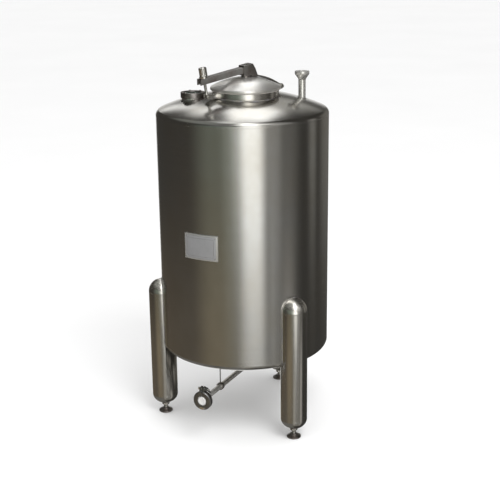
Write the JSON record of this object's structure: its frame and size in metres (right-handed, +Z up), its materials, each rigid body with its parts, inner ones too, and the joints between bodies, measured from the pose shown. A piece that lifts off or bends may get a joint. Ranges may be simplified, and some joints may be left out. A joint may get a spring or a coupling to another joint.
{
  "type": "stainless steel storage vessel",
  "caption": "Upright cylindrical stainless steel storage vessel with dished ends, a hinged manway lid, a top inlet, a low sight port, a bottom drain pipe and round pipe legs on screw feet.",
  "frame": {"origin": "on the vessel's axis, on the floor under the feet", "axes": "+Z up along the vessel's axis; -Y is the front, where the drain pipe and the nameplate face; +X is to the right seen from the front"},
  "size_m": [0.6154, 0.6961, 1.2917],
  "materials": {
    "brushed_shell": "satin brushed, vertical reflections",
    "brushed_head": "satin brushed, circular grain",
    "brushed_leg": "satin brushed",
    "bright_steel": "machined, fairly bright",
    "dull_steel": "dull, darkened",
    "polished_steel": "polished",
    "etched_plate": "bead-blasted, bare",
    "white_rubber": "matte",
    "sight_glass": "clear, dark behind"
  },
  "bodies": {
    "root": {"bolt_lug": "bright_steel", "bolt_pin": "dull_steel", "bottom_head": "brushed_head", "clamp_bolt": "bright_steel", "clamp_left": "bright_steel", "clamp_right": "bright_steel", "drain_cap": "polished_steel", "drain_collar": "dull_steel", "drain_ferrule": "bright_steel", "drain_gasket": "white_rubber", "drain_pipe": "bright_steel", "foot_nut_left": "bright_steel", "foot_nut_rear": "bright_steel", "foot_nut_right": "bright_steel", "foot_pad_left": "dull_steel", "foot_pad_rear": "dull_steel", "foot_pad_right": "dull_steel", "foot_screw_left": "bright_steel", "foot_screw_rear": "bright_steel", "foot_screw_right": "bright_steel", "hanger_rod": "bright_steel", "hinge_bracket": "bright_steel", "hinge_pin": "dull_steel", "inlet_ferrule": "bright_steel", "inlet_tube": "bright_steel", "leg_left": "brushed_leg", "leg_rear": "brushed_leg", "leg_right": "brushed_leg", "manway_gasket": "white_rubber", "manway_neck": "bright_steel", "nameplate": "etched_plate", "nameplate_bracket": "bright_steel", "outlet_elbow": "bright_steel", "shell": "brushed_shell", "sight_glass": "sight_glass", "sight_port_body": "bright_steel", "sight_port_ring": "dull_steel", "swing_bolt": "bright_steel", "top_head": "brushed_head", "wing_nut": "bright_steel"},
    "lid_body": {"lid": "polished_steel", "lid_arm": "dull_steel", "lid_boss": "dull_steel", "hand_nut": "dull_steel"}
  },
  "joints": [
    {"name": "lid_hinge", "type": "hinge", "parent": "root", "child": "lid_body", "pos_m": [0.09517, 0.09083, 1.203], "axis": [-0.8607, 0.509, 0], "range_deg": [0, 95]}
  ]
}
